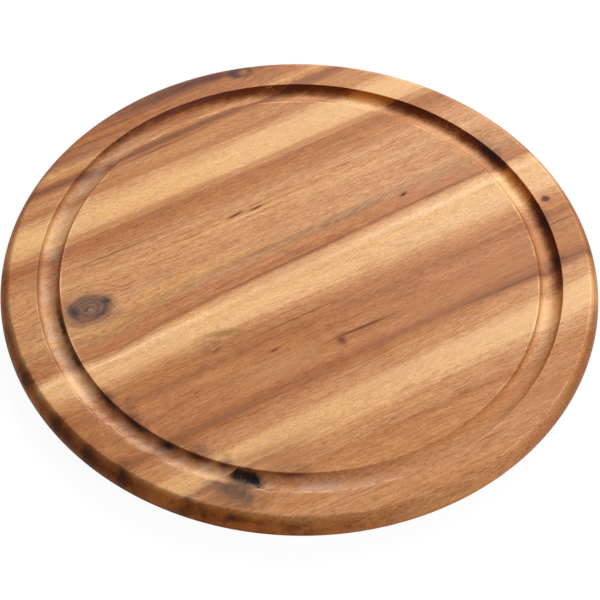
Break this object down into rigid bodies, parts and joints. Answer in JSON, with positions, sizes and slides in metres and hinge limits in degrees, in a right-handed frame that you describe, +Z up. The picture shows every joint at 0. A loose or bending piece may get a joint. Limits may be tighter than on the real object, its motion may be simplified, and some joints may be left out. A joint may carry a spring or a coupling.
{
  "type": "pizza serving board",
  "caption": "Round serving board of edge-glued acacia staves, with a rounded edge and a shallow juice groove all round, for cutting and serving pizza.",
  "frame": {"origin": "centre of the underside, on the surface that the board lies on", "axes": "+X along the grain of the staves, +Y across the staves towards the back edge stave, +Z up out of the serving face"},
  "size_m": [0.32, 0.32, 0.016],
  "materials": {
    "acacia_heartwood": "oiled satin, reddish-brown heartwood",
    "acacia_sapwood_banded": "oiled satin, brown heartwood with pale sapwood bands",
    "wood_glue": "cured adhesive, sanded flush"
  },
  "bodies": {
    "root": {"stave_1_back_edge": "acacia_heartwood", "stave_2_narrow": "acacia_sapwood_banded", "stave_3_knot": "acacia_heartwood", "stave_4_wide": "acacia_sapwood_banded", "stave_5_front_edge": "acacia_heartwood", "glue_line_1_2": "wood_glue", "glue_line_2_3": "wood_glue", "glue_line_3_4": "wood_glue", "glue_line_4_5": "wood_glue"}
  },
  "joints": []
}
